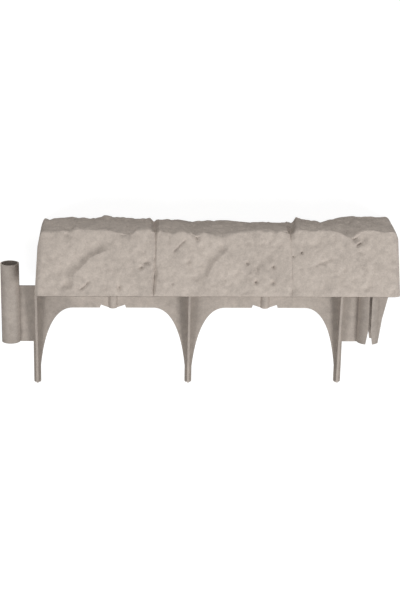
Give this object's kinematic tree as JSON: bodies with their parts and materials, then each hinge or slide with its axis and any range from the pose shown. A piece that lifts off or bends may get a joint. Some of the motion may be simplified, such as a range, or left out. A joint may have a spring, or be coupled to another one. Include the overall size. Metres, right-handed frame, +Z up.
{
  "type": "stone-look garden edging section",
  "caption": "Moulded plastic garden edging section: a hollow cap shaped like rough stones on an arched web with ground stakes, a tube at one end and a split socket at the other.",
  "frame": {"origin": "centre of the bounding box's bottom, on the floor under the part", "axes": "the section lies on its back face; +X runs along the edging from the tube to the socket, +Y is close to the section's own upward direction, and +Z is up, out of the front face"},
  "size_m": [0.3292, 0.1426, 0.0564],
  "materials": {
    "plastic": "matt, taupe, with a fine moulded grain"
  },
  "bodies": {
    "root": {"edging_section": "plastic"}
  },
  "joints": []
}
